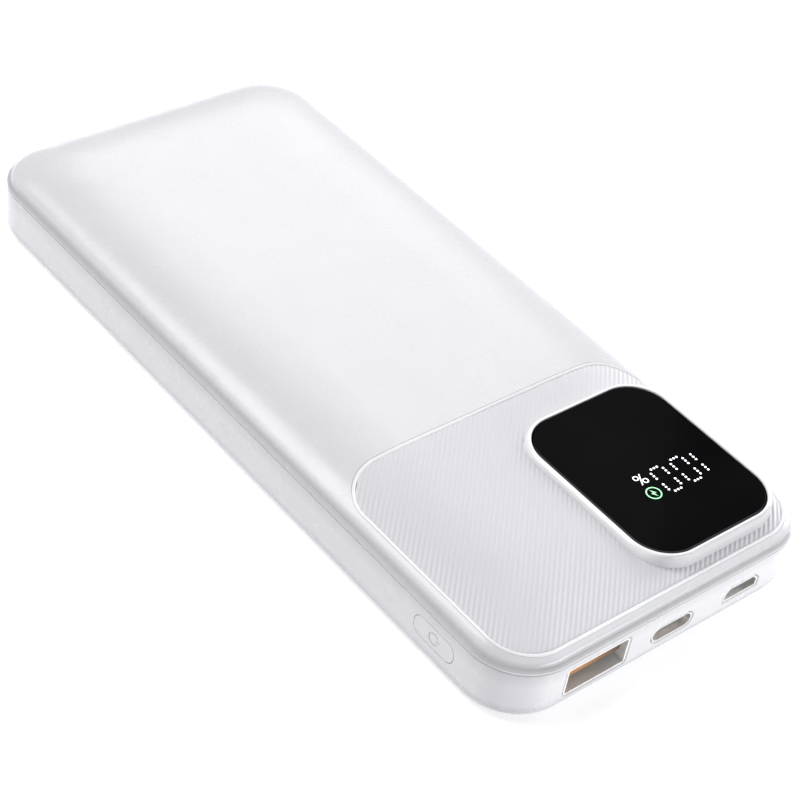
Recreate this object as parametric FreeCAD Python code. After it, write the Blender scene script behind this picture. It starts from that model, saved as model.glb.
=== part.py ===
"""Power bank: a two-part plastic case with a crowned cover, a ribbed panel and a
raised display at the port end, three USB ports on the short end and a power
button on the long side.

Frame: millimetres, +Z up. The origin is the middle of the footprint at the
underside. The long axis is Y, the ports face -Y and the button faces -X.
"""
import FreeCAD, Part
import math
import os

from FreeCAD import Vector

# ---------------------------------------------------------------- case sizes
case_width = 67.4
case_length = 150.2
corner_radius = 10.4
case_wall = 1.6
case_floor = 1.5
underside_fillet = 2.8
floor_fillet = 1.2
seam_groove = 0.18

# ---------------------------------------------------------------- cover sizes
cover_rise = 4.8
lip_height = 0.9
lip_flat = 0.45
lip_inset = 0.6
crown_reach = 18.0
crown_corner_radius = 6.0
crown_sections = 9
cover_thickness = 1.8
cover_side_wall = 1.6
tongue_depth = 1.2
tongue_thickness = 0.8
tongue_clearance = 0.1

# ------------------------------------------------- ribbed panel let into the cover
panel_side_inset = 2.2
panel_end_inset = 1.7
panel_length = 46.2
panel_corner_radius = 8.2
panel_border = 0.6
panel_border_sink = 0.05
panel_sink = 0.3
panel_thickness = 0.7
panel_clearance = 0.05

# ---------------------------------------------------------------- display
window_width = 28.5
window_length = 35.0
window_corner_radius = 6.9
window_thickness = 1.0
window_bevel_width = 0.4
window_bevel_drop = 0.25
window_clearance = 0.03
mark_depth = 0.2
window_sink = 0.05
display_from_side = 19.5
display_from_end = 22.15
display_rise = 0.7
bezel_rim = (0.5, 0.5)
bezel_shoulder = (1.15, 0.8)
bezel_shoulder_drop = 0.75
bezel_base = (1.3, 1.0)
bezel_depth = 3.9
bezel_ledge = 1.2
bezel_clearance = 0.05

digit_offsets = (9.52, 4.95, 0.38)
digit_row_offset = -3.62
digit_column_offset = 1.375
dot_pitch = 0.665
dot_radius = 0.22
bar_offset = 2.87
column_dot_offset = 1.43
percent_offset = (-3.45, -1.6)
percent_height = 2.3
percent_stroke = 0.2
charge_offset = (-3.78, -5.05)
charge_radius = 1.38
charge_stroke = 0.22

module_size = (18.6, 10.0)
module_offset = (2.4, -3.6)
module_opening_clearance = 0.15
module_corner_radius = 0.5
display_board_size = (19.6, 13.6)
display_board_thickness = 0.8
display_board_drop = 3.1

# ---------------------------------------------------------------- ports
port_recess = 0.12
port_clearance = 0.1
port_mouth_chamfer = 0.25
shell_wall = 0.3
shell_depth_a = 14.0
shell_depth_c = 7.3
shell_depth_micro = 5.6
port_top_gap = 0.34
usb_a_x = -15.45
usb_a_inside = (12.5, 5.12)
usb_a_corner = 0.35
usb_a_tongue_size = (11.1, 1.84)
usb_a_tongue_recess = 0.9
usb_a_tongue_drop = 0.72
usb_c_x = 1.05
usb_c_lift = 2.18
usb_c_inside = (8.34, 2.56)
usb_c_tongue_size = (6.69, 0.7)
usb_c_tongue_recess = 1.5
usb_c_foot_offset = 2.2
micro_usb_x = 16.8
micro_usb_lift = 2.46
micro_usb_inside = (7.1, 2.1)
micro_usb_chamfer = 0.85
micro_usb_tongue_size = (3.7, 0.6)
micro_usb_tongue_recess = 1.2
micro_usb_tongue_drop = 0.25
micro_usb_foot_offset = 2.6
insulator_depth = 2.0
contact_setback = 0.6
contact_thickness = 0.12
foot_width = 0.8
foot_length = 1.5

# ---------------------------------------------------------------- power button
button_from_end = 17.7
button_top_gap = 0.1
button_length = 9.4
button_height = 4.0
button_corner_radius = 1.8
button_clearance = 0.1
button_travel = 0.35
flange_overlap = 0.75
flange_thickness = 0.6
stem_radius = 0.9
stem_length = 0.5
icon_radius = 1.15
icon_stroke = 0.2
icon_depth = 0.12
icon_gap_angle = 35.0
plunger_radius = 0.8
plunger_reach = 1.0
plunger_clearance = 0.1
switch_size = (3.2, 5.2)
switch_cap = 1.0

# ---------------------------------------------------------------- main board
board_thickness = 1.0
board_lift = 0.64
board_side_gap = 1.0
board_front_gap = 0.6
board_length = 43.7
board_corner_radius = 8.0
board_hole_radius = 0.95
post_radius = 2.2
post_from_side = 5.1
post_from_rear = 6.8
rest_from_side = 4.1
rest_from_front = 12.9
screw_radius = 0.7
screw_head_radius = 1.5
screw_head_height = 0.7
screw_bite = 1.3
rest_places = ((-22.0, -55.0), (27.0, -60.0))

# ---------------------------------------------------------------- battery
cell_side_gap = 3.6
cell_rear_gap = 3.5
cell_board_gap = 3.2
cell_corner_radius = 2.0
cell_edge_fillet = 1.1
pad_thickness = 0.2
tape_thickness = 0.1
pad_margin = 6.0
foam_margin = 15.0
foam_thickness = 1.75
foam_clearance = 0.15
tab_width = 6.0
tab_thickness = 0.15
tab_offset = 12.0
tab_bend = 1.4
tab_foot = 4.5
divider_height = 1.2
divider_thickness = 1.0
divider_gap = 0.4

# ---------------------------------------------------------------- small parts
inductor_size = (7.4, 7.0, 4.2)
inductor_place = (-19.0, 12.8)
inductor_chamfer = 1.2
boost_chip_size = (5.0, 5.0, 0.9)
boost_chip_place = (-8.0, 17.8)
micro_chip_size = (5.0, 6.2, 1.5)
micro_chip_place = (4.0, 10.8)
transistor_size = (3.3, 3.3, 1.0)
transistor_places = ((-8.0, 8.8), (-2.5, 14.8))
capacitor_size = (3.2, 2.5, 1.9)
capacitor_places = ((-14.0, 18.8), (-14.0, 6.8), (12.5, 14.8), (18.0, 14.8))
header_pins = 6
header_pitch = 2.0
header_pin_width = 0.5
header_row_offset = 5.9
header_strip_height = 2.0
header_strip_width = 2.2

# ---------------------------------------------------------------- worked-out places
half_width = case_width / 2
half_length = case_length / 2
inner_side = half_width - case_wall
inner_end = half_length - case_wall
usb_a_outside = (usb_a_inside[0] + 2 * shell_wall, usb_a_inside[1] + 2 * shell_wall)
board_bottom = case_floor + board_lift
board_top = board_bottom + board_thickness
tongue_bottom = board_top + usb_a_outside[1] + port_top_gap
seam_height = tongue_bottom + tongue_depth
cover_top = seam_height + cover_rise
crease_height = seam_height + lip_height
crown_rise = cover_top - crease_height
roof = cover_top - cover_thickness

panel_front = panel_end_inset - half_length
panel_rear = panel_front + panel_length
panel_width = case_width - 2 * panel_side_inset
panel_centre = (0.0, (panel_rear + panel_front) / 2)
pocket_depth = panel_sink + panel_thickness

display_top = cover_top + display_rise
display_centre = (half_width - display_from_side, display_from_end - half_length)
window_top = display_top - window_sink
window_bottom = window_top - window_thickness
mark_bottom = window_top - mark_depth
digit_centres = [display_centre[0] + offset for offset in digit_offsets]
digit_row = display_centre[1] + digit_row_offset
percent_centre = (display_centre[0] + percent_offset[0], display_centre[1] + percent_offset[1])
charge_centre = (display_centre[0] + charge_offset[0], display_centre[1] + charge_offset[1])
module_centre = (display_centre[0] + module_offset[0], display_centre[1] + module_offset[1])
display_board_top = cover_top - display_board_drop
display_board_bottom = display_board_top - display_board_thickness
header_row = module_centre[1] + header_row_offset

usb_a_centre = (usb_a_x, board_top + usb_a_outside[1] / 2)
usb_c_centre = (usb_c_x, board_top + usb_c_lift)
micro_usb_centre = (micro_usb_x, board_top + micro_usb_lift)
usb_a_tongue_top = usb_a_centre[1] + usb_a_inside[1] / 2 - usb_a_tongue_drop
usb_a_tongue_bottom = usb_a_tongue_top - usb_a_tongue_size[1]
micro_usb_tongue_top = micro_usb_centre[1] + micro_usb_inside[1] / 2 - micro_usb_tongue_drop
micro_usb_tongue_bottom = micro_usb_tongue_top - micro_usb_tongue_size[1]
usb_c_tongue_top = usb_c_centre[1] + usb_c_tongue_size[1] / 2
usb_c_tongue_bottom = usb_c_centre[1] - usb_c_tongue_size[1] / 2
port_face = port_recess - half_length

board_front = board_front_gap - inner_end
board_rear = board_front + board_length
board_half_width = inner_side - board_side_gap
post_y = board_rear - post_from_rear
post_x = board_half_width - post_from_side
rest_y = board_front + rest_from_front
rest_x = board_half_width - rest_from_side
post_places = ((-post_x, post_y), (post_x, post_y))
rest_places = ((-rest_x, rest_y), (rest_x, rest_y))
screw_tip = board_bottom - screw_bite

button_middle = tongue_bottom - button_top_gap - flange_overlap - button_height / 2
button_centre = (button_from_end - half_length, button_middle)
button_front = -half_width
flange_back = flange_thickness - inner_side
plunger_tip = flange_back + stem_length
switch_front = plunger_tip + plunger_reach
bore_depth = switch_size[0] / 2

cell_front = board_rear + cell_board_gap
cell_rear = inner_end - cell_rear_gap
cell_length = cell_rear - cell_front
cell_width = 2 * (inner_side - cell_side_gap)
cell_centre = (0.0, (cell_front + cell_rear) / 2)
cells_top = roof - foam_clearance - foam_thickness
cell_thickness = (cells_top - case_floor - pad_thickness - tape_thickness) / 2
lower_cell_bottom = case_floor + pad_thickness
upper_cell_bottom = lower_cell_bottom + cell_thickness + tape_thickness


# ---------------------------------------------------------------- shape helpers
def plan(z, centre=(0.0, 0.0)):
    """Map outline coordinates to a level plane."""
    return lambda u, v: Vector(centre[0] + u, centre[1] + v, z)


def end_view(y, centre):
    """Map outline coordinates to a plane that faces the ports; centre is (x, z)."""
    return lambda u, v: Vector(centre[0] + u, y, centre[1] + v)


def side_view(x, centre):
    """Map outline coordinates to a plane that faces the button; centre is (y, z)."""
    return lambda u, v: Vector(x, centre[0] + u, centre[1] + v)


def rounded_wire(width, height, radius, place):
    """Rectangle with four round corners, centred on zero."""
    arcs = []
    for turn, (sx, sy) in enumerate(((1, 1), (-1, 1), (-1, -1), (1, -1))):
        cu = sx * (width / 2 - radius)
        cv = sy * (height / 2 - radius)
        points = []
        for step in (0.0, 45.0, 90.0):
            angle = math.radians(90.0 * turn + step)
            points.append(place(cu + radius * math.cos(angle), cv + radius * math.sin(angle)))
        arcs.append(points)
    edges = []
    for index, points in enumerate(arcs):
        following = arcs[(index + 1) % 4][0]
        edges.append(Part.Arc(*points).toShape())
        if points[2].distanceToPoint(following) > 1e-6:
            edges.append(Part.LineSegment(points[2], following).toShape())
    return Part.Wire(edges)


def chamfered_wire(width, height, chamfer, place):
    """Rectangle whose two upper corners are cut off."""
    u = width / 2
    v = height / 2
    corners = [(-u, -v), (u, -v), (u, v - chamfer), (u - chamfer, v), (chamfer - u, v), (-u, v - chamfer)]
    points = [place(*corner) for corner in corners]
    return Part.makePolygon(points + points[:1])


def polygon_wire(corners, place):
    points = [place(*corner) for corner in corners]
    return Part.makePolygon(points + points[:1])


def prism(wire, direction):
    return Part.Face(wire).extrude(direction)


def level_prism(width, length, radius, bottom, top, centre=(0.0, 0.0)):
    return prism(rounded_wire(width, length, radius, plan(bottom, centre)), Vector(0, 0, top - bottom))


def box(centre, size, bottom):
    """Block on a level plane; centre is (x, y), size is (x, y, z)."""
    corner = Vector(centre[0] - size[0] / 2, centre[1] - size[1] / 2, bottom)
    return Part.makeBox(size[0], size[1], size[2], corner)


def block(x0, x1, y0, y1, z0, z1):
    return Part.makeBox(x1 - x0, y1 - y0, z1 - z0, Vector(x0, y0, z0))


def post(centre, radius, bottom, top):
    return Part.makeCylinder(radius, top - bottom, Vector(centre[0], centre[1], bottom))


def fuse_all(shapes):
    whole = shapes[0]
    for shape in shapes[1:]:
        whole = whole.fuse(shape)
    return whole.removeSplitter()


def edges_at(shape, height):
    """Edges that lie wholly in one level plane."""
    tolerance = 1e-4
    chosen = []
    for edge in shape.Edges:
        bounds = edge.BoundBox
        if abs(bounds.ZMin - height) < tolerance and abs(bounds.ZMax - height) < tolerance:
            chosen.append(edge)
    return chosen


# ---------------------------------------------------------------- cover form
def cover_wire(inset, z):
    """Cover outline at a level. Near the edge the corners are concentric with the
    case; further in they settle at the crown's own corner radius."""
    spare = corner_radius - crown_corner_radius
    radius = crown_corner_radius + spare * math.exp(-inset / spare)
    return rounded_wire(case_width - 2 * inset, case_length - 2 * inset, radius, plan(z))


def crown(drop):
    """Solid under the crown, lowered by drop: a quarter ellipse from the crease to
    the flat top, on a straight base that reaches below the seam."""
    sections = []
    for step in range(crown_sections):
        angle = math.pi / 2 * step / (crown_sections - 1)
        inset = lip_inset + crown_reach * (1 - math.cos(angle))
        sections.append(cover_wire(inset, crease_height + crown_rise * math.sin(angle)))
    dome = Part.makeLoft(sections, True, False)
    base_depth = lip_height + tongue_depth + cover_thickness
    base = prism(cover_wire(lip_inset, crease_height - base_depth), Vector(0, 0, base_depth))
    solid = fuse_all([base, dome])
    solid.translate(Vector(0, 0, -drop))
    return solid


def cover_cavity():
    """Room inside the cover, under a roof that follows the crown."""
    inset = lip_inset + cover_side_wall
    reach = level_prism(case_width - 2 * inset, case_length - 2 * inset, corner_radius - inset,
                        seam_height - 1.0, cover_top)
    return crown(cover_thickness).common(reach)


def panel_prism(shrink=0.0):
    return level_prism(panel_width - 2 * shrink, panel_length - 2 * shrink, panel_corner_radius - shrink,
                       seam_height, cover_top + 1.0, panel_centre)


def bezel_wire(margin, z):
    """Outline round the window; margin is (at the sides, at the ends)."""
    return rounded_wire(window_width + 2 * margin[0], window_length + 2 * margin[1],
                        window_corner_radius + min(margin), plan(z, display_centre))


def bezel_block(grow=0.0):
    """Block that the bezel is cut from: a sloping shoulder on a slightly tapered
    base. The clearance round it is grow."""
    levels = ((bezel_base, display_top - bezel_depth),
              (bezel_shoulder, display_top - bezel_shoulder_drop),
              (bezel_rim, display_top))
    wires = [bezel_wire((side + grow, end + grow), z) for (side, end), z in levels]
    lower = Part.makeLoft(wires[:2], True, True)
    upper = Part.makeLoft(wires[1:], True, True)
    return lower.fuse(upper)


# ---------------------------------------------------------------- port outlines
def usb_a_wire(grow, y):
    return rounded_wire(usb_a_inside[0] + 2 * grow, usb_a_inside[1] + 2 * grow, usb_a_corner + grow,
                        end_view(y, usb_a_centre))


def usb_c_wire(grow, y):
    return rounded_wire(usb_c_inside[0] + 2 * grow, usb_c_inside[1] + 2 * grow,
                        usb_c_inside[1] / 2 + grow, end_view(y, usb_c_centre))


def micro_usb_wire(grow, y):
    return chamfered_wire(micro_usb_inside[0] + 2 * grow, micro_usb_inside[1] + 2 * grow,
                          micro_usb_chamfer + 0.6 * grow, end_view(y, micro_usb_centre))


port_wires = (usb_a_wire, usb_c_wire, micro_usb_wire)


def port_opening(wire):
    """Hole through the end wall for one receptacle, with a chamfered mouth."""
    grow = shell_wall + port_clearance
    hole = prism(wire(grow, -half_length), Vector(0, case_wall, 0))
    mouth = Part.makeLoft([wire(grow + port_mouth_chamfer, -half_length),
                           wire(grow, -half_length + port_mouth_chamfer)], True, True)
    return hole.fuse(mouth)


# ---------------------------------------------------------------- case
def button_opening():
    grow = 2 * button_clearance
    wire = rounded_wire(button_length + grow, button_height + grow, button_corner_radius + button_clearance,
                        side_view(-half_width, button_centre))
    return prism(wire, Vector(case_wall, 0, 0))


def case_supports():
    """Posts that carry the main board, and the rib that keeps the cells off it."""
    root = case_floor / 2
    supports = [post(place, post_radius, root, board_bottom) for place in post_places + rest_places]
    rib_rear = cell_front - divider_gap
    supports.append(block(-cell_width / 2, cell_width / 2, rib_rear - divider_thickness, rib_rear,
                          root, case_floor + divider_height))
    return supports


def make_bottom_case():
    shell = level_prism(case_width, case_length, corner_radius, 0.0, seam_height)
    shell = shell.makeFillet(underside_fillet, edges_at(shell, 0.0))
    shell = shell.makeChamfer(seam_groove, edges_at(shell, seam_height))
    room = level_prism(case_width - 2 * case_wall, case_length - 2 * case_wall, corner_radius - case_wall,
                       case_floor, seam_height + 1.0)
    room = room.makeFillet(floor_fillet, edges_at(room, case_floor))
    shell = shell.cut(room)
    shell = fuse_all([shell] + case_supports())
    for place in post_places:
        shell = shell.cut(post(place, screw_radius, screw_tip, board_bottom))
    for wire in port_wires:
        shell = shell.cut(port_opening(wire))
    return shell.cut(button_opening()).removeSplitter()


def make_top_cover():
    flat_top = seam_height + lip_flat
    lip = prism(cover_wire(0.0, seam_height), Vector(0, 0, lip_flat))
    lip = lip.makeChamfer(seam_groove, edges_at(lip, seam_height))
    shoulder = Part.makeLoft([cover_wire(0.0, flat_top), cover_wire(lip_inset, crease_height)], True, True)
    above_seam = block(-case_width, case_width, -case_length, case_length, crease_height, cover_top + 1.0)
    dome = crown(0.0).common(above_seam)
    body = fuse_all([lip, shoulder, dome]).cut(cover_cavity())
    outer = case_wall + tongue_clearance
    inner = outer + tongue_thickness
    tongue = level_prism(case_width - 2 * outer, case_length - 2 * outer, corner_radius - outer,
                         tongue_bottom, crease_height)
    tongue = tongue.cut(level_prism(case_width - 2 * inner, case_length - 2 * inner, corner_radius - inner,
                                    tongue_bottom, crease_height))
    body = body.fuse(tongue)
    pocket = panel_prism().cut(crown(pocket_depth))
    opening = level_prism(module_size[0] + 2 * module_opening_clearance,
                          module_size[1] + 2 * module_opening_clearance,
                          module_opening_clearance + module_corner_radius, seam_height,
                          cover_top + 1.0, module_centre)
    return body.cut(pocket).cut(opening).removeSplitter()


def make_ribbed_panel():
    """Curved sheet with a low smooth border; the ribs on it are too fine to model."""
    slab = panel_prism(panel_clearance).common(crown(panel_border_sink)).cut(crown(pocket_depth))
    field = panel_prism(panel_clearance + panel_border).cut(crown(panel_sink))
    return slab.cut(field).cut(bezel_block(bezel_clearance))


# ---------------------------------------------------------------- display
def make_display_bezel():
    frame = bezel_block()
    frame = frame.cut(level_prism(window_width + 2 * window_clearance, window_length + 2 * window_clearance,
                                  window_corner_radius + window_clearance, window_bottom,
                                  display_top + 1.0, display_centre))
    frame = frame.cut(level_prism(window_width - 2 * bezel_ledge, window_length - 2 * bezel_ledge,
                                  window_corner_radius - bezel_ledge, seam_height,
                                  display_top + 1.0, display_centre))
    return frame.cut(crown(pocket_depth))


def dot_places():
    """Centres of the lit dots: a 1 and two 0s in seven-segment form, three dots to
    a segment. The read-out's top is towards the ports and it reads towards -X."""
    places = []
    columns = [(digit_centres[0], (-1,))]
    columns += [(centre, (-1, 1)) for centre in digit_centres[1:]]
    for centre, sides in columns:
        for side in sides:
            for half in (-1, 1):
                for step in (-1, 0, 1):
                    x = centre + side * digit_column_offset
                    places.append((x, digit_row + half * column_dot_offset + step * dot_pitch))
    for centre in digit_centres[1:]:
        for half in (-1, 1):
            for step in (-1, 0, 1):
                places.append((centre + step * dot_pitch, digit_row + half * bar_offset))
    return places


def flat_mark(corners, centre):
    """Straight-sided clear inlay, flush with the top of the window."""
    return prism(polygon_wire(corners, plan(mark_bottom, centre)), Vector(0, 0, mark_depth))


def ring_mark(centre, outer, stroke):
    outside = post(centre, outer, mark_bottom, window_top)
    return outside.cut(post(centre, outer - stroke, mark_bottom, window_top))


def percent_marks():
    """Percent sign: two small rings and a slanting bar."""
    ring = percent_height * 0.24
    reach = percent_height / 2 - ring
    rings = []
    for side in (-1, 1):
        centre = (percent_centre[0] + side * reach * 0.95, percent_centre[1] - side * reach)
        rings.append(ring_mark(centre, ring, percent_stroke))
    half = percent_height / 2
    lean = percent_height * 0.26
    thick = percent_stroke * 0.6
    corners = [(-lean - thick, -half), (thick - lean, -half), (lean + thick, half), (lean - thick, half)]
    return rings + [flat_mark(corners, percent_centre)]


def charge_marks():
    """Charging mark: a closed ring round a lightning bolt."""
    ring = ring_mark(charge_centre, charge_radius, charge_stroke)
    unit = charge_radius * 0.66
    shape = [(0.25, -1.0), (-0.55, 0.12), (-0.05, 0.12), (-0.25, 1.0), (0.55, -0.12), (0.05, -0.12)]
    corners = [(unit * u, unit * v) for u, v in shape]
    return [ring, flat_mark(corners, charge_centre)]


def dot_marks():
    return [post(place, dot_radius, mark_bottom, window_top) for place in dot_places()]


def make_display_window():
    """Pane with a bevelled upper edge and a pocket for each mark."""
    edge = window_top - window_bevel_drop
    pane = level_prism(window_width, window_length, window_corner_radius, window_bottom, edge,
                       display_centre)
    bevel = [bezel_wire((0.0, 0.0), edge), bezel_wire((-window_bevel_width, -window_bevel_width), window_top)]
    pane = pane.fuse(Part.makeLoft(bevel, True, True))
    return pane.cut(Part.makeCompound(dot_marks() + percent_marks() + charge_marks()))


def make_digit_module():
    return level_prism(module_size[0], module_size[1], module_corner_radius, display_board_top,
                       window_bottom, module_centre)


def make_display_board():
    return level_prism(display_board_size[0], display_board_size[1], module_corner_radius,
                       display_board_bottom, display_board_top, module_centre)


def header_places():
    start = module_centre[0] - header_pitch * (header_pins - 1) / 2
    return [(start + header_pitch * index, header_row) for index in range(header_pins)]


def make_header_pins():
    size = (header_pin_width, header_pin_width, display_board_bottom - board_top)
    return Part.makeCompound([box(place, size, board_top) for place in header_places()])


def make_header_strip():
    length = header_pitch * header_pins
    strip = box((module_centre[0], header_row), (length, header_strip_width, header_strip_height), board_top)
    return strip.cut(make_header_pins())


# ---------------------------------------------------------------- receptacles
def shell_tube(wire, depth):
    """Folded metal tube of a receptacle."""
    outside = prism(wire(shell_wall, port_face), Vector(0, depth, 0))
    return outside.cut(prism(wire(0.0, port_face), Vector(0, depth, 0)))


def shell_feet(centre, inside, depth, offset):
    """Two feet that hold a small receptacle above the board."""
    rear = port_face + depth
    top = centre[1] - inside[1] / 2 - shell_wall / 2
    feet = []
    for side in (-1, 1):
        x = centre[0] + side * offset
        feet.append(block(x - foot_width / 2, x + foot_width / 2, rear - foot_length, rear, board_top, top))
    return feet


def tongue_with_back(wire, depth, centre, width, recess, bottom, top):
    """Plastic tongue that carries the contacts, with the block that closes the shell."""
    start = port_face + depth - insulator_depth
    back = prism(wire(0.0, start), Vector(0, insulator_depth, 0))
    tongue = block(centre[0] - width / 2, centre[0] + width / 2, port_face + recess, start, bottom, top)
    return fuse_all([back, tongue])


def contact_strips(centre, recess, depth, z, count, pitch, width):
    """Row of flat contacts on one face of a tongue; z is their lower face."""
    front = port_face + recess + contact_setback
    rear = port_face + depth - insulator_depth
    strips = []
    for index in range(count):
        x = centre[0] + pitch * (index - (count - 1) / 2)
        strips.append(block(x - width / 2, x + width / 2, front, rear, z, z + contact_thickness))
    return strips


def make_usb_a_shell():
    return shell_tube(usb_a_wire, shell_depth_a)


def make_usb_a_tongue():
    return tongue_with_back(usb_a_wire, shell_depth_a, usb_a_centre, usb_a_tongue_size[0],
                            usb_a_tongue_recess, usb_a_tongue_bottom, usb_a_tongue_top)


def make_usb_a_contacts():
    z = usb_a_tongue_bottom - contact_thickness
    strips = contact_strips(usb_a_centre, usb_a_tongue_recess, shell_depth_a, z, 4, 2.25, 1.0)
    return Part.makeCompound(strips)


def make_usb_c_shell():
    feet = shell_feet(usb_c_centre, usb_c_inside, shell_depth_c, usb_c_foot_offset)
    return fuse_all([shell_tube(usb_c_wire, shell_depth_c)] + feet)


def make_usb_c_tongue():
    return tongue_with_back(usb_c_wire, shell_depth_c, usb_c_centre, usb_c_tongue_size[0],
                            usb_c_tongue_recess, usb_c_tongue_bottom, usb_c_tongue_top)


def make_usb_c_contacts():
    strips = []
    for z in (usb_c_tongue_top, usb_c_tongue_bottom - contact_thickness):
        strips += contact_strips(usb_c_centre, usb_c_tongue_recess, shell_depth_c, z, 12, 0.5, 0.3)
    return Part.makeCompound(strips)


def make_micro_usb_shell():
    feet = shell_feet(micro_usb_centre, micro_usb_inside, shell_depth_micro, micro_usb_foot_offset)
    return fuse_all([shell_tube(micro_usb_wire, shell_depth_micro)] + feet)


def make_micro_usb_tongue():
    return tongue_with_back(micro_usb_wire, shell_depth_micro, micro_usb_centre, micro_usb_tongue_size[0],
                            micro_usb_tongue_recess, micro_usb_tongue_bottom, micro_usb_tongue_top)


def make_micro_usb_contacts():
    z = micro_usb_tongue_bottom - contact_thickness
    strips = contact_strips(micro_usb_centre, micro_usb_tongue_recess, shell_depth_micro, z, 5, 0.65, 0.4)
    return Part.makeCompound(strips)


# ---------------------------------------------------------------- power button
def power_icon():
    """Engraving cutter: an open ring with a short bar in its gap, facing -Y."""
    along = Vector(1, 0, 0)
    centre = Vector(button_front, *button_centre)
    ring = Part.makeCylinder(icon_radius, icon_depth, centre, along)
    ring = ring.cut(Part.makeCylinder(icon_radius - icon_stroke, icon_depth, centre, along))
    reach = 2 * icon_radius
    spread = reach * math.tan(math.radians(icon_gap_angle))
    gap_corners = [(0.0, 0.0), (-reach, -spread), (-reach, spread)]
    gap = prism(polygon_wire(gap_corners, side_view(button_front, button_centre)), Vector(icon_depth, 0, 0))
    bar = block(button_front, button_front + icon_depth, button_centre[0] - icon_radius - icon_stroke,
                button_centre[0] - icon_radius / 2, button_centre[1] - icon_stroke / 2,
                button_centre[1] + icon_stroke / 2)
    return ring.cut(gap).fuse(bar)


def make_power_button():
    face = rounded_wire(button_length, button_height, button_corner_radius,
                        side_view(button_front, button_centre))
    cap = prism(face, Vector(case_wall, 0, 0))
    grown = 2 * flange_overlap
    edge = rounded_wire(button_length + grown, button_height + grown, button_corner_radius + flange_overlap,
                        side_view(-inner_side, button_centre))
    flange = prism(edge, Vector(flange_thickness, 0, 0))
    stem = Part.makeCylinder(stem_radius, stem_length, Vector(flange_back, *button_centre), Vector(1, 0, 0))
    return fuse_all([cap, flange, stem]).cut(power_icon())


def make_switch_plunger():
    reach = plunger_reach + bore_depth - button_travel - plunger_clearance
    return Part.makeCylinder(plunger_radius, reach, Vector(plunger_tip, *button_centre), Vector(1, 0, 0))


def make_switch_body():
    """Side-push switch that stands on the board, with a blind bore for its plunger."""
    height = button_centre[1] + plunger_radius + switch_cap - board_top
    middle = (switch_front + switch_size[0] / 2, button_centre[0])
    body = box(middle, (*switch_size, height), board_top)
    bore = Part.makeCylinder(plunger_radius + plunger_clearance, bore_depth,
                             Vector(switch_front, *button_centre), Vector(1, 0, 0))
    return body.cut(bore)


# ---------------------------------------------------------------- main board
def make_main_board():
    board = level_prism(2 * board_half_width, board_length, board_corner_radius, board_bottom, board_top,
                        (0.0, (board_rear + board_front) / 2))
    for place in post_places:
        board = board.cut(post(place, board_hole_radius, board_bottom, board_top))
    return board


def make_board_screws():
    screws = []
    for place in post_places:
        shank = post(place, screw_radius, screw_tip, board_top)
        head = post(place, screw_head_radius, board_top, board_top + screw_head_height)
        screws.append(fuse_all([shank, head]))
    return Part.makeCompound(screws)


def chip(size, place):
    """Block on the board; place is (x, distance from the board's rear edge)."""
    return box((place[0], board_rear - place[1]), size, board_top)


def make_inductor():
    core = chip(inductor_size, inductor_place)
    uprights = [edge for edge in core.Edges if edge.BoundBox.ZLength > inductor_size[2] / 2]
    return core.makeChamfer(inductor_chamfer, uprights)


def make_boost_controller():
    return chip(boost_chip_size, boost_chip_place)


def make_microcontroller():
    return chip(micro_chip_size, micro_chip_place)


def make_power_transistors():
    return Part.makeCompound([chip(transistor_size, place) for place in transistor_places])


def make_capacitors():
    return Part.makeCompound([chip(capacitor_size, place) for place in capacitor_places])


# ---------------------------------------------------------------- battery
def pouch_cell(bottom):
    top = bottom + cell_thickness
    cell = level_prism(cell_width, cell_length, cell_corner_radius, bottom, top, cell_centre)
    return cell.makeFillet(cell_edge_fillet, edges_at(cell, bottom) + edges_at(cell, top))


def cell_sheet(margin, bottom, thickness):
    """Flat sheet laid on a cell, short of its edges by margin."""
    return box(cell_centre, (cell_width - 2 * margin, cell_length - 2 * margin, thickness), bottom)


def make_lower_cell():
    return pouch_cell(lower_cell_bottom)


def make_upper_cell():
    return pouch_cell(upper_cell_bottom)


def make_cell_pad():
    return cell_sheet(pad_margin, case_floor, pad_thickness)


def make_cell_tape():
    return cell_sheet(pad_margin, upper_cell_bottom - tape_thickness, tape_thickness)


def make_foam_pad():
    return cell_sheet(foam_margin, cells_top, foam_thickness)


def cell_tab(x):
    """Bent nickel strip that joins both cells' terminals to the board."""
    bend = cell_front - tab_bend
    arms = []
    for bottom in (lower_cell_bottom, upper_cell_bottom):
        z = bottom + cell_thickness / 2
        arms.append((bend, cell_front, z, z + tab_thickness))
    upright = (bend, bend + tab_thickness, board_top, upper_cell_bottom + cell_thickness / 2 + tab_thickness)
    foot = (board_rear - tab_foot, bend + tab_thickness, board_top, board_top + tab_thickness)
    pieces = [block(x - tab_width / 2, x + tab_width / 2, *piece) for piece in arms + [upright, foot]]
    return fuse_all(pieces)


def make_positive_tab():
    return cell_tab(-tab_offset)


def make_negative_tab():
    return cell_tab(tab_offset)


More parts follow.
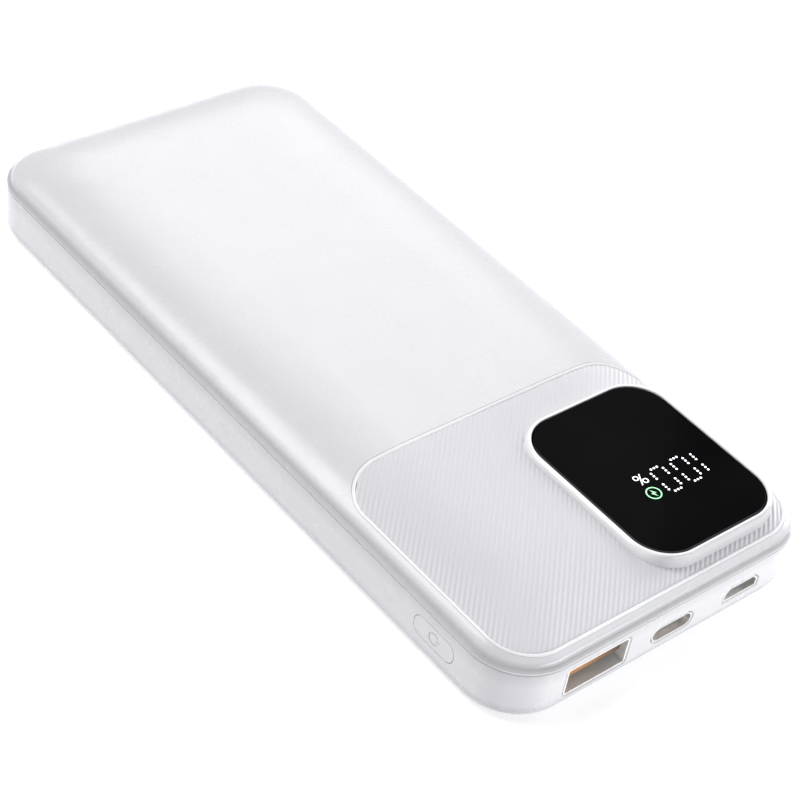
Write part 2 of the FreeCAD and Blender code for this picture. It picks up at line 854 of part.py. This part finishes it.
# ---------------------------------------------------------------- all nodes
nodes = {
    "bottom_case": make_bottom_case,
    "top_cover": make_top_cover,
    "ribbed_panel": make_ribbed_panel,
    "display_bezel": make_display_bezel,
    "display_window": make_display_window,
    "digit_lights": lambda: Part.makeCompound(dot_marks()),
    "percent_light": lambda: Part.makeCompound(percent_marks()),
    "charge_light": lambda: Part.makeCompound(charge_marks()),
    "digit_module": make_digit_module,
    "display_board": make_display_board,
    "header_pins": make_header_pins,
    "header_strip": make_header_strip,
    "usb_a_shell": make_usb_a_shell,
    "usb_a_tongue": make_usb_a_tongue,
    "usb_a_contacts": make_usb_a_contacts,
    "usb_c_shell": make_usb_c_shell,
    "usb_c_tongue": make_usb_c_tongue,
    "usb_c_contacts": make_usb_c_contacts,
    "micro_usb_shell": make_micro_usb_shell,
    "micro_usb_tongue": make_micro_usb_tongue,
    "micro_usb_contacts": make_micro_usb_contacts,
    "power_button": make_power_button,
    "switch_plunger": make_switch_plunger,
    "switch_body": make_switch_body,
    "main_board": make_main_board,
    "board_screws": make_board_screws,
    "inductor": make_inductor,
    "boost_controller": make_boost_controller,
    "microcontroller": make_microcontroller,
    "power_transistors": make_power_transistors,
    "capacitors": make_capacitors,
    "lower_cell": make_lower_cell,
    "upper_cell": make_upper_cell,
    "cell_pad": make_cell_pad,
    "cell_tape": make_cell_tape,
    "foam_pad": make_foam_pad,
    "positive_tab": make_positive_tab,
    "negative_tab": make_negative_tab,
}


def main():
    os.makedirs("parts", exist_ok=True)
    for name, make in nodes.items():
        shape = make()
        if not shape.isValid():
            raise ValueError(name + " is not a valid shape")
        shape.exportStep("parts/" + name + ".step")
        print(name, len(shape.Solids), "solid(s), volume %.2f" % shape.Volume)


main()
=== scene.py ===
import math

import bpy
from mathutils import Matrix, Vector


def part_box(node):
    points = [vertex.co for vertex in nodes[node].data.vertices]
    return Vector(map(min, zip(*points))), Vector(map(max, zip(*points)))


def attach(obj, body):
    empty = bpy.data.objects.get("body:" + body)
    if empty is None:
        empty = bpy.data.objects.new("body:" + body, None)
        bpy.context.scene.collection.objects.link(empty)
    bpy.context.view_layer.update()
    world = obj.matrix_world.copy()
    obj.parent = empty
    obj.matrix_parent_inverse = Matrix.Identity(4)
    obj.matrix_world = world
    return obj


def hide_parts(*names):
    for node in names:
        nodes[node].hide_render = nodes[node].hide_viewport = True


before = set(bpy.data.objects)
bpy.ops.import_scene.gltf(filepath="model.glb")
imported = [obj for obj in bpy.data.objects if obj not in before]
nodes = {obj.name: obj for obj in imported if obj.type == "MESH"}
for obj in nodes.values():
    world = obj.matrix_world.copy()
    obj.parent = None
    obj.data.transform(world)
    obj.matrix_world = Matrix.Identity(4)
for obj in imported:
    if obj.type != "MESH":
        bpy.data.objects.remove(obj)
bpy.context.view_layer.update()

MM = 0.001


# ------------------------------------------------------------------ camera
camera_aim = Vector((3.126, -5.052, -1.550)) * MM
camera_distance = 371.155 * MM
camera_azimuth = math.radians(-135.335)
camera_elevation = math.radians(40.598)
camera_roll = math.radians(10.0016)
camera_lens = 93.93


def direction_at(azimuth, elevation):
    """Unit vector at an azimuth from +X and a height above the floor, in radians."""
    return Vector((math.cos(elevation) * math.cos(azimuth),
                   math.cos(elevation) * math.sin(azimuth),
                   math.sin(elevation)))


def add_camera():
    """Camera above the -X, -Y corner, rolled a little to its left."""
    data = bpy.data.cameras.new("camera")
    data.sensor_width = 36.0
    data.lens = camera_lens
    data.clip_start = 0.01
    data.clip_end = 20.0
    camera = bpy.data.objects.new("camera", data)
    bpy.context.scene.collection.objects.link(camera)
    outward = direction_at(camera_azimuth, camera_elevation)
    turn = outward.to_track_quat("Z", "Y").to_matrix()
    turn = turn @ Matrix.Rotation(camera_roll, 3, "Z")
    camera.matrix_world = Matrix.Translation(camera_aim + outward * camera_distance) @ turn.to_4x4()
    bpy.context.scene.camera = camera


# ------------------------------------------------------------------ materials
# Noise stays mostly between these two values, and its scales are in cycles per metre.
noise_low = 0.3
noise_high = 0.7
plastic_cast = 60.0
plastic_gloss = 220.0
plastic_grain = 2500.0
metal_cast = 900.0
metal_gloss = 2500.0
metal_grain = 12000.0
light_cast = 1500.0


def new_material(name, color, roughness, **sockets):
    """Principled material; the extra sockets are set as plain values."""
    material = bpy.data.materials.new(name)
    material.use_nodes = True
    shader = shader_of(material)
    shader.inputs["Base Color"].default_value = (*color, 1.0)
    shader.inputs["Roughness"].default_value = roughness
    for socket, value in sockets.items():
        shader.inputs[socket.replace("_", " ")].default_value = value
    return material


def link(material, source, output, target, socket):
    material.node_tree.links.new(source.outputs[output], target.inputs[socket])


def add_node(material, kind, **settings):
    node = material.node_tree.nodes.new(kind)
    for key, value in settings.items():
        setattr(node, key, value)
    return node


def shader_of(material):
    return material.node_tree.nodes["Principled BSDF"]


def map_range(material, source, output, start, end):
    """0 at the start value of the source, 1 at its end value."""
    share = add_node(material, "ShaderNodeMapRange")
    share.inputs["From Min"].default_value = start
    share.inputs["From Max"].default_value = end
    link(material, source, output, share, "Value")
    return share


def noise(material, scale, detail=3.0):
    """Noise fixed to the object."""
    place = add_node(material, "ShaderNodeTexCoord")
    texture = add_node(material, "ShaderNodeTexNoise")
    texture.inputs["Scale"].default_value = scale
    texture.inputs["Detail"].default_value = detail
    link(material, place, "Object", texture, "Vector")
    return texture


def vary_roughness(material, texture, low, high):
    ramp = map_range(material, texture, "Fac", noise_low, noise_high)
    ramp.inputs["To Min"].default_value = low
    ramp.inputs["To Max"].default_value = high
    link(material, ramp, "Result", shader_of(material), "Roughness")


def vary_color(material, texture, low, high):
    ramp = add_node(material, "ShaderNodeValToRGB")
    for element, place, color in zip(ramp.color_ramp.elements, (noise_low, noise_high), (low, high)):
        element.position = place
        element.color = (*color, 1.0)
    link(material, texture, "Fac", ramp, "Fac")
    link(material, ramp, "Color", shader_of(material), "Base Color")


def add_bump(material, texture, strength, distance):
    bump = add_node(material, "ShaderNodeBump")
    bump.inputs["Strength"].default_value = strength
    bump.inputs["Distance"].default_value = distance
    link(material, texture, "Fac", bump, "Height")
    link(material, bump, "Normal", shader_of(material), "Normal")


def plastic(name, low, high, rough_low, rough_high, depth=0.003 * MM, **sockets):
    """Moulded plastic: a slight cast in the colour, uneven gloss and a fine grain."""
    material = new_material(name, high, rough_low, **sockets)
    vary_color(material, noise(material, plastic_cast), low, high)
    vary_roughness(material, noise(material, plastic_gloss), rough_low, rough_high)
    add_bump(material, noise(material, plastic_grain, 2.0), 0.08, depth)
    return material


def metal(name, low, high, rough_low, rough_high, metallic=1.0):
    """Rolled metal: a slight cast in the colour, uneven gloss and a fine grain."""
    material = new_material(name, high, rough_low, Metallic=metallic)
    vary_color(material, noise(material, metal_cast), low, high)
    vary_roughness(material, noise(material, metal_gloss), rough_low, rough_high)
    add_bump(material, noise(material, metal_grain, 2.0), 0.2, 0.003 * MM)
    return material


def mix_base(material, share, output, color, mode="MIX"):
    """Mixes a colour into the base colour by the share node's output."""
    base_color = shader_of(material).inputs["Base Color"]
    base = base_color.links[0].from_socket
    mix = add_node(material, "ShaderNodeMix", data_type="RGBA", blend_type=mode)
    factor, under, over = mix.inputs[0], mix.inputs[6], mix.inputs[7]
    over.default_value = (*color, 1.0)
    material.node_tree.links.new(share.outputs[output], factor)
    material.node_tree.links.new(base, under)
    material.node_tree.links.new(mix.outputs[2], base_color)


def paint_light_facing(material, direction, start, end, color, mode="MIX"):
    """Paints light or shade: mixes in a colour where the surface faces a direction fixed to the object."""
    place = add_node(material, "ShaderNodeNewGeometry")
    facing = add_node(material, "ShaderNodeVectorMath", operation="DOT_PRODUCT")
    facing.inputs[1].default_value = direction
    link(material, place, "Normal", facing, "Vector")
    mix_base(material, map_range(material, facing, "Value", start, end), "Result", color, mode)


def position(material):
    """Place on the object, split into X, Y and Z."""
    place = add_node(material, "ShaderNodeNewGeometry")
    split = add_node(material, "ShaderNodeSeparateXYZ")
    link(material, place, "Position", split, "Vector")
    return split


def paint_shade_along(material, axis, start, end, color):
    """Paints shade: mixes in a colour from one place to another along an axis."""
    place = position(material)
    mix_base(material, map_range(material, place, axis, start, end), "Result", color)


def shade_band(material, start, full, fade, end, color):
    """Multiplies a colour into a band of heights, given in millimetres."""
    place = position(material)
    rise = map_range(material, place, "Z", start * MM, full * MM)
    fall = map_range(material, place, "Z", end * MM, fade * MM)
    both = add_node(material, "ShaderNodeMath", operation="MULTIPLY")
    for index, share in enumerate((rise, fall)):
        material.node_tree.links.new(share.outputs["Result"], both.inputs[index])
    mix_base(material, both, "Value", color, "MULTIPLY")


def lit(name, low, high, strength):
    """Mark that glows through the window, a touch uneven."""
    material = new_material(name, high, 0.3)
    vary_color(material, noise(material, light_cast), low, high)
    shader = shader_of(material)
    shader.inputs["Emission Color"].default_value = (*high, 1.0)
    shader.inputs["Emission Strength"].default_value = strength
    return material


def give(material, *names):
    for name in names:
        mesh = nodes[name].data
        mesh.materials.clear()
        mesh.materials.append(material)


# Directions fixed to the object for painted shade and a painted reflection: its front corner on the
# button's side, and its port side.
toward_corner = (-0.707, -0.707, 0.0)
toward_ports = (0.3, -0.95, 0.0)
shell_colors = (0.625, 0.625, 0.655), (0.64, 0.64, 0.67)
shell_gloss = 0.24, 0.29


def make_shell_materials():
    """Button, cover and lower case share one plastic; the cover and lower case carry painted shade."""
    give(plastic("case_white", *shell_colors, *shell_gloss), "power_button")
    cover = plastic("cover_white_painted_shade", *shell_colors, *shell_gloss)
    # Painted shade: the cover is darker in the crease where the lip meets the crown.
    shade_band(cover, start=10.3, full=11.15, fade=11.55, end=12.2, color=(0.7, 0.7, 0.7))
    give(cover, "top_cover")
    case = plastic("lower_white_painted_shade", *shell_colors, *shell_gloss)
    # Painted shade: darker at the foot, over the underside fillet.
    shade_band(case, start=-0.1, full=0.0, fade=2.1, end=3.4, color=(0.77, 0.77, 0.78))
    # Painted shade: darker below the seam.
    shade_band(case, start=7.5, full=10.3, fade=10.5, end=10.6, color=(0.84, 0.84, 0.84))
    # Painted shade: darker on the front corner on the button's side.
    paint_light_facing(case, toward_corner, 0.86, 0.98, (0.86, 0.86, 0.87), "MULTIPLY")
    give(case, "bottom_case")


def make_window_material():
    window = plastic("window_black", (0.0035, 0.0035, 0.004), (0.005, 0.005, 0.0055), 0.05, 0.09,
                     depth=0.0005 * MM, Specular_IOR_Level=0.004)
    # Painted reflection: the window's edges facing the front corner are a lighter grey.
    paint_light_facing(window, toward_corner, 0.15, 0.35, (0.05, 0.05, 0.055))
    give(window, "display_window")
    give(lit("light_white", (0.9, 0.93, 0.96), (0.95, 0.98, 1.0), 1.1), "digit_lights", "percent_light")
    give(lit("light_green", (0.25, 0.75, 0.35), (0.35, 0.85, 0.45), 0.9), "charge_light")


def make_port_materials():
    brown = plastic("tongue_brown_painted_shade", (0.32, 0.13, 0.03), (0.4, 0.17, 0.045), 0.4, 0.55)
    low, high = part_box("usb_a_tongue")
    # Painted shade: the USB-A tongue darkens to near black towards its +X end, deeper in the port.
    paint_shade_along(brown, "X", (low.x * 2 + high.x) / 3, high.x, (0.012, 0.01, 0.01))
    give(brown, "usb_a_tongue")
    give(plastic("tongue_warm_grey", (0.78, 0.71, 0.68), (0.84, 0.77, 0.74), 0.4, 0.55), "usb_c_tongue")
    give(plastic("tongue_cool_grey", (0.74, 0.74, 0.76), (0.8, 0.8, 0.82), 0.4, 0.55), "micro_usb_tongue")
    give(metal("bright_steel", (0.8, 0.79, 0.78), (0.88, 0.87, 0.86), 0.45, 0.55, 0.3), "usb_a_shell")
    give(metal("shell_steel", (0.74, 0.73, 0.72), (0.84, 0.83, 0.82), 0.4, 0.5),
         "usb_c_shell", "micro_usb_shell", "board_screws")
    give(metal("contact_gold", (0.72, 0.5, 0.2), (0.83, 0.62, 0.3), 0.2, 0.35),
         "usb_a_contacts", "usb_c_contacts", "micro_usb_contacts", "header_pins")


def make_inner_materials():
    give(plastic("black_plastic", (0.02, 0.02, 0.02), (0.035, 0.035, 0.035), 0.4, 0.55),
         "switch_plunger", "switch_body", "digit_module", "header_strip",
         "boost_controller", "microcontroller", "power_transistors")
    give(metal("nickel_strip", (0.6, 0.58, 0.52), (0.7, 0.68, 0.62), 0.25, 0.4),
         "positive_tab", "negative_tab")
    give(metal("pouch_foil", (0.6, 0.6, 0.62), (0.7, 0.7, 0.72), 0.3, 0.5), "lower_cell", "upper_cell")
    give(plastic("board_green", (0.01, 0.1, 0.04), (0.02, 0.14, 0.06), 0.3, 0.45),
         "main_board", "display_board")
    give(plastic("ferrite", (0.06, 0.06, 0.06), (0.1, 0.1, 0.1), 0.5, 0.7), "inductor")
    give(plastic("ceramic", (0.35, 0.23, 0.13), (0.45, 0.3, 0.18), 0.4, 0.6), "capacitors")
    give(plastic("adhesive_sheet", (0.7, 0.66, 0.5), (0.76, 0.72, 0.58), 0.4, 0.6), "cell_pad", "cell_tape")
    give(plastic("black_foam", (0.03, 0.03, 0.03), (0.05, 0.05, 0.05), 0.8, 0.95), "foam_pad")


def make_panel_material():
    panel = plastic("panel_white", (0.61, 0.61, 0.645), (0.625, 0.625, 0.66), 0.36, 0.42)
    give(panel, "ribbed_panel")
    return panel


def make_bead_material():
    # The bead is lighter than the shell plastic: a painted highlight along the panel's rim.
    return plastic("bead_white_painted_highlight", (0.8, 0.8, 0.82), (0.83, 0.83, 0.85), 0.16, 0.2, depth=0.001 * MM)


def make_bezel_material():
    # The bezel is lighter than the shell plastic: a painted highlight on the rim.
    bezel = plastic("bezel_white", (0.84, 0.84, 0.85), (0.87, 0.87, 0.88), 0.14, 0.18, depth=0.001 * MM)
    # Painted shade: darker on the slopes facing the port side.
    paint_light_facing(bezel, toward_ports, 0.12, 0.5, (0.64, 0.64, 0.66), "MULTIPLY")
    give(bezel, "display_bezel")
    return bezel


# ------------------------------------------------------------------ cover form
# The crown is a quarter ellipse from the crease to the flat top. It follows the
# rounded outline of the case, so its height depends only on the distance in
# from the edge.
corner_radius = 10.4 * MM
crown_corner_radius = 6.0 * MM
crease_height = 11.3 * MM
crease_inset = 0.6 * MM
crown_reach = 18.0 * MM
cover_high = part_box("top_cover")[1]


def outline_radius(inset):
    """Corner radius of the cover's outline at an inset."""
    spare = corner_radius - crown_corner_radius
    return crown_corner_radius + spare * math.exp(-inset / spare)


def inset_at(x, y):
    """Distance in from the cover's edge."""
    inset = 0.0
    for _ in range(6):
        radius = outline_radius(inset)
        over_x = abs(x) - (cover_high.x - inset - radius)
        over_y = abs(y) - (cover_high.y - inset - radius)
        if over_x > 0 and over_y > 0:
            outside = math.hypot(over_x, over_y) - radius
        else:
            outside = max(over_x, over_y) - radius
        inset = max(inset - outside, 0.0)
    return inset


def crown_height(x, y):
    share = min(max((inset_at(x, y) - crease_inset) / crown_reach, 0.0), 1.0)
    rise = cover_high.z - crease_height
    return crease_height + rise * math.sqrt(1.0 - (1.0 - share) ** 2)


# ------------------------------------------------------------------ new pieces
def add_piece(name, vertices, faces, material, body="pack"):
    mesh = bpy.data.meshes.new(name)
    mesh.from_pydata(vertices, [], faces)
    mesh.update()
    piece = bpy.data.objects.new(name, mesh)
    bpy.context.scene.collection.objects.link(piece)
    mesh.materials.append(material)
    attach(piece, body)
    return piece


def smooth(piece, angle):
    """Smooth shading that keeps edges sharper than the angle."""
    piece.data.shade_smooth()
    piece.data.set_sharp_from_angle(angle=math.radians(angle))


def rounded_outline(low, high, radius, steps):
    """Points round a rounded rectangle, anticlockwise, with each one's outward direction."""
    points = []
    for turn, (sx, sy) in enumerate(((1, 1), (-1, 1), (-1, -1), (1, -1))):
        cx = (high.x if sx > 0 else low.x) - sx * radius
        cy = (high.y if sy > 0 else low.y) - sy * radius
        for step in range(steps + 1):
            angle = math.radians(90.0 * (turn + step / steps))
            out = Vector((math.cos(angle), math.sin(angle)))
            points.append((Vector((cx, cy)) + out * radius, out))
    return points


def loop_faces(count, rings):
    """Quads between closed rings of points."""
    faces = []
    for ring in range(rings - 1):
        for index in range(count):
            following = (index + 1) % count
            base = ring * count
            faces.append((base + index, base + following, base + count + following, base + count + index))
    return faces


# ------------------------------------------------------------------ ribbed panel
rib_pitch = 0.8 * MM
rib_height = 0.09 * MM
rib_samples = 6
run_samples = 36
corner_steps = 24
panel_border = 0.62 * MM
panel_sink = 0.3 * MM
bead_overlap = 0.02 * MM
bezel_overlap = 0.3 * MM
display_hole_radius = 7.0 * MM
panel_radius = 8.15 * MM
diagonal = math.sqrt(2.0)


def clip_line(outline, across):
    """Where the diagonal line at an offset enters and leaves a convex outline, or None."""
    origin = Vector((across, -across)) / diagonal
    direction = Vector((1.0, 1.0)) / diagonal
    enter, leave = -1.0, 1.0
    for index, (start, _) in enumerate(outline):
        along = outline[(index + 1) % len(outline)][0] - start
        if along.length < 1e-9:
            continue
        normal = Vector((along.y, -along.x))
        gap = (start - origin).dot(normal)
        rate = direction.dot(normal)
        if abs(rate) < 1e-12:
            if gap < 0:
                return None
        elif rate > 0:
            leave = min(leave, gap / rate)
        else:
            enter = max(enter, gap / rate)
    return (enter, leave) if enter < leave else None


def extreme_line(outline, side):
    """Offset and place along it of the last diagonal line that touches the outline."""
    point = max((p for p, _ in outline), key=lambda p: side * (p.x - p.y))
    return (point.x - point.y) / diagonal, (point.x + point.y) / diagonal


def rib_lines(field, hole):
    """Each diagonal line's offset and its two stretches, before and after the display."""
    first, _ = extreme_line(field, -1)
    last, _ = extreme_line(field, 1)
    hole_first = extreme_line(hole, -1)
    hole_last = extreme_line(hole, 1)
    count = int((last - first) / rib_pitch * rib_samples)
    lines = []
    for index in range(1, count):
        across = first + (last - first) * index / count
        span = clip_line(field, across)
        gap = clip_line(hole, across)
        if gap is None:
            middle = hole_first[1] if across < hole_first[0] else hole_last[1]
            middle = min(max(middle, span[0]), span[1])
            gap = (middle, middle)
        lines.append((across, (span[0], gap[0]), (gap[1], span[1])))
    return lines


def make_rib_field(field, hole):
    """Sheet of ribs on both sides of the display, as vertices and faces."""
    vertices = []
    faces = []
    lines = rib_lines(field, hole)
    for stretch in (1, 2):
        start = len(vertices)
        for line in lines:
            across = line[0]
            ridge = rib_height * 0.5 * (1.0 + math.cos(2.0 * math.pi * across / rib_pitch))
            enter, leave = line[stretch]
            for step in range(run_samples + 1):
                share = 0.5 - 0.5 * math.cos(math.pi * step / run_samples)
                along = enter + (leave - enter) * share
                x = (along + across) / diagonal
                y = (along - across) / diagonal
                vertices.append((x, y, crown_height(x, y) - panel_sink + ridge))
        width = run_samples + 1
        for row in range(len(lines) - 1):
            for column in range(run_samples):
                corner = start + row * width + column
                faces.append((corner, corner + width, corner + width + 1, corner + 1))
    return vertices, faces


def make_border(low, high):
    """Rounded bead round the panel, with its outer wall down to the pocket floor.
    The profile is (inwards from the edge, below the crown), in millimetres."""
    outline = dense(rounded_outline(low, high, panel_radius, corner_steps))
    profile = [(0.0, 0.85), (0.0, 0.06), (0.04, 0.01), (0.10, -0.03), (0.22, -0.04), (0.32, -0.02),
               (0.42, 0.05), (0.52, 0.15), (0.60, 0.25), (0.66, 0.36)]
    vertices = []
    for inward, sink in profile:
        for point, out in outline:
            place = point - out * inward * MM
            vertices.append((place.x, place.y, crown_height(place.x, place.y) - sink * MM))
    return vertices, loop_faces(len(outline), len(profile))


def dense(outline):
    """The outline with its straight runs divided, so that it can follow the crown."""
    points = []
    for index, (point, out) in enumerate(outline):
        following, next_out = outline[(index + 1) % len(outline)]
        points.append((point, out))
        run = (following - point).length
        parts = int(run / (1.0 * MM)) if run > 1.5 * MM else 1
        for part in range(1, parts):
            points.append((point.lerp(following, part / parts), out))
    return points


def add_ribbed_panel(material, bead_material):
    low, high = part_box("ribbed_panel")
    border = panel_border - bead_overlap
    inner_low = Vector((low.x + border, low.y + border))
    inner_high = Vector((high.x - border, high.y - border))
    field = rounded_outline(inner_low, inner_high, panel_radius - border, corner_steps)
    bezel_low, bezel_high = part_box("display_bezel")
    hidden = Vector((bezel_overlap, bezel_overlap))
    hole = rounded_outline(bezel_low.xy + hidden, bezel_high.xy - hidden, display_hole_radius, 16)
    vertices, faces = make_rib_field(field, hole)
    sheet = add_piece("ribbed_sheet", vertices, faces, material)
    smooth(sheet, 70)
    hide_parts("ribbed_panel")
    vertices, faces = make_border(low.xy, high.xy)
    bead = add_piece("panel_bead", vertices, faces, bead_material)
    smooth(bead, 70)
    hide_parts("ribbed_panel")


# ------------------------------------------------------------------ display bezel
window_radius = 6.9 * MM


def add_bezel(material):
    """Rim round the window, rounded over its shoulder and down to the panel. The profile is
    (out at the sides, out at the ends, below the top), in millimetres from the window."""
    low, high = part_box("display_window")
    outline = rounded_outline(low.xy, high.xy, window_radius, 32)
    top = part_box("display_bezel")[1].z
    profile = [(0.03, 0.05, 0.60), (0.03, 0.05, 0.07), (0.08, 0.09, 0.015), (0.16, 0.17, 0.0),
               (0.42, 0.40, 0.0), (0.58, 0.52, 0.03), (0.74, 0.62, 0.11), (0.90, 0.71, 0.25),
               (1.02, 0.77, 0.42), (1.11, 0.82, 0.62), (1.17, 0.86, 0.85), (1.22, 0.92, 1.4),
               (1.26, 0.97, 2.6), (1.29, 1.0, 3.6)]
    vertices = []
    for side, end, drop in profile:
        for point, out in outline:
            vertices.append((point.x + out.x * side * MM, point.y + out.y * end * MM, top - drop * MM))
    bezel = add_piece("bezel_rim", vertices, loop_faces(len(outline), len(profile)), material)
    smooth(bezel, 60)
    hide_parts("display_bezel")


# ------------------------------------------------------------------ studio
light_distance = 1.2
floor_reach = 3.0
floor_level = -0.02 * MM


def add_floor():
    """Large plain sheet just below the object, bright enough to lose its shadows.
    From below it is clear, so that the underside can be seen."""
    mesh = bpy.data.meshes.new("floor")
    signs = ((-1, -1), (1, -1), (1, 1), (-1, 1))
    corners = [(x * floor_reach, y * floor_reach, floor_level) for x, y in signs]
    mesh.from_pydata(corners, [], [(0, 1, 2, 3)])
    floor = bpy.data.objects.new("floor", mesh)
    bpy.context.scene.collection.objects.link(floor)
    white = new_material("floor_white", (0.9, 0.9, 0.9), 0.9)
    shader = shader_of(white)
    shader.inputs["Emission Color"].default_value = (1.0, 1.0, 1.0, 1.0)
    shader.inputs["Emission Strength"].default_value = 0.42
    side = add_node(white, "ShaderNodeNewGeometry")
    clear = add_node(white, "ShaderNodeBsdfTransparent")
    either = add_node(white, "ShaderNodeMixShader")
    link(white, side, "Backfacing", either, "Fac")
    white.node_tree.links.new(shader.outputs["BSDF"], either.inputs[1])
    white.node_tree.links.new(clear.outputs["BSDF"], either.inputs[2])
    surface = white.node_tree.nodes["Material Output"]
    link(white, either, "Shader", surface, "Surface")
    mesh.materials.append(white)


def add_softbox(name, azimuth, elevation, width, height, power):
    """Rectangular light that faces the object, its angles in degrees."""
    data = bpy.data.lights.new(name, "AREA")
    data.shape = "RECTANGLE"
    data.size = width
    data.size_y = height
    data.energy = power
    light = bpy.data.objects.new(name, data)
    bpy.context.scene.collection.objects.link(light)
    outward = direction_at(math.radians(azimuth), math.radians(elevation))
    light.location = outward * light_distance
    light.rotation_euler = outward.to_track_quat("Z", "Y").to_euler()
    light.visible_camera = False


def add_studio():
    world = bpy.data.worlds.new("studio")
    bpy.context.scene.world = world
    world.use_nodes = True
    background = world.node_tree.nodes["Background"]
    background.inputs["Color"].default_value = (0.985, 0.99, 1.0, 1.0)
    background.inputs["Strength"].default_value = 0.33
    add_softbox("right_low", 2, 14, 0.7, 0.6, 8.5)
    add_softbox("right_back", 50, 35, 0.6, 0.6, 3.2)
    add_softbox("over_back", 118, 60, 0.6, 0.6, 8.6)
    add_softbox("left_back", 142, 38, 0.5, 0.4, 1.2)
    add_softbox("port_low", 285, 6, 0.9, 0.2, 7.5)
    add_softbox("port_right", 325, 35, 0.6, 0.6, 1.2)
    add_softbox("left_low", 205, 12, 0.6, 0.6, 0.6)
    bpy.context.scene.view_settings.view_transform = "Standard"


add_camera()
make_shell_materials()
make_window_material()
make_port_materials()
make_inner_materials()
add_ribbed_panel(make_panel_material(), make_bead_material())
add_bezel(make_bezel_material())
add_floor()
add_studio()
